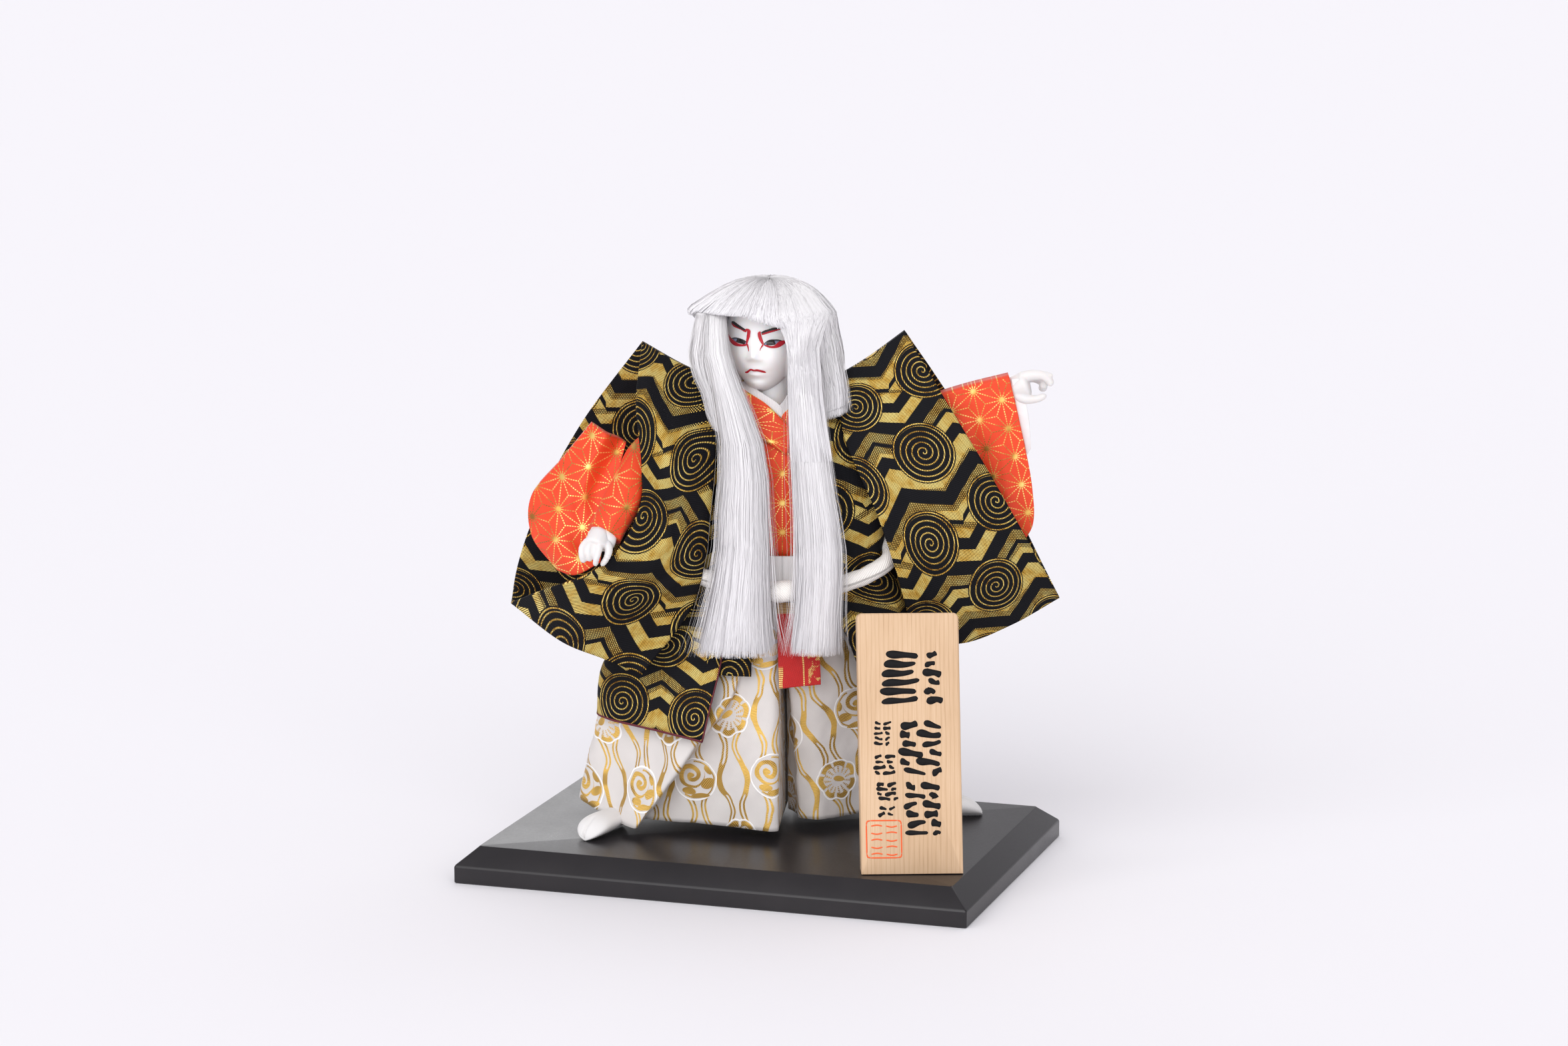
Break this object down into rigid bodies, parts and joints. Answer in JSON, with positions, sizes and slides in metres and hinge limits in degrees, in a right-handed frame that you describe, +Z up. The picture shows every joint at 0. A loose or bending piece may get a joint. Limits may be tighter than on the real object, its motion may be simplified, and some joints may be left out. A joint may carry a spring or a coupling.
{
  "type": "kabuki doll",
  "caption": "Dressed stage-dancer doll with long pale hair and wide gold brocade sleeves, on a black lacquered board with a small wooden title board.",
  "frame": {"origin": "middle of the lacquered board's underside", "axes": "+X to the right of someone facing the board's long front side, +Y to the back, +Z up. The doll is turned 17.9 degrees about +Z on its board."},
  "size_m": [0.2499, 0.164, 0.27],
  "materials": {
    "base_lacquer": "black lacquer, satin",
    "title_wood": "planed pale softwood, unpainted",
    "white_cotton": "plain woven white cotton",
    "trouser_cloth": "off-white twill with woven gold motifs",
    "kimono_silk": "orange cloth with thin gold lines",
    "sash_white": "white ribbed satin",
    "sash_red": "red cloth with a woven gold head",
    "belt_cotton": "cream cotton rope, soft",
    "coat_brocade": "black and gold metallic brocade",
    "skin": "white shell-powder paint, faint satin",
    "hair": "long pale silky fibre"
  },
  "bodies": {
    "root": {"base_board": "base_lacquer", "title_board": "title_wood", "foot_right": "white_cotton", "foot_left": "white_cotton", "trouser_leg_right": "trouser_cloth", "trouser_leg_left": "trouser_cloth", "kimono_body": "kimono_silk", "under_collar": "white_cotton", "waist_sash": "sash_white", "sash_end": "sash_red", "belt_rope": "belt_cotton", "coat_body": "coat_brocade", "coat_front_right": "coat_brocade", "coat_sleeve_right": "coat_brocade", "coat_sleeve_left": "coat_brocade", "kimono_sleeve_right": "kimono_silk", "kimono_sleeve_left": "kimono_silk", "cuff_right": "white_cotton", "cuff_left": "white_cotton", "hand_right": "skin", "hand_left": "skin", "head": "skin", "hair_crown": "hair", "hair_side_lock_right": "hair", "hair_side_lock_left": "hair", "hair_tress_right": "hair", "hair_tress_left": "hair", "hair_mane": "hair"}
  },
  "joints": []
}
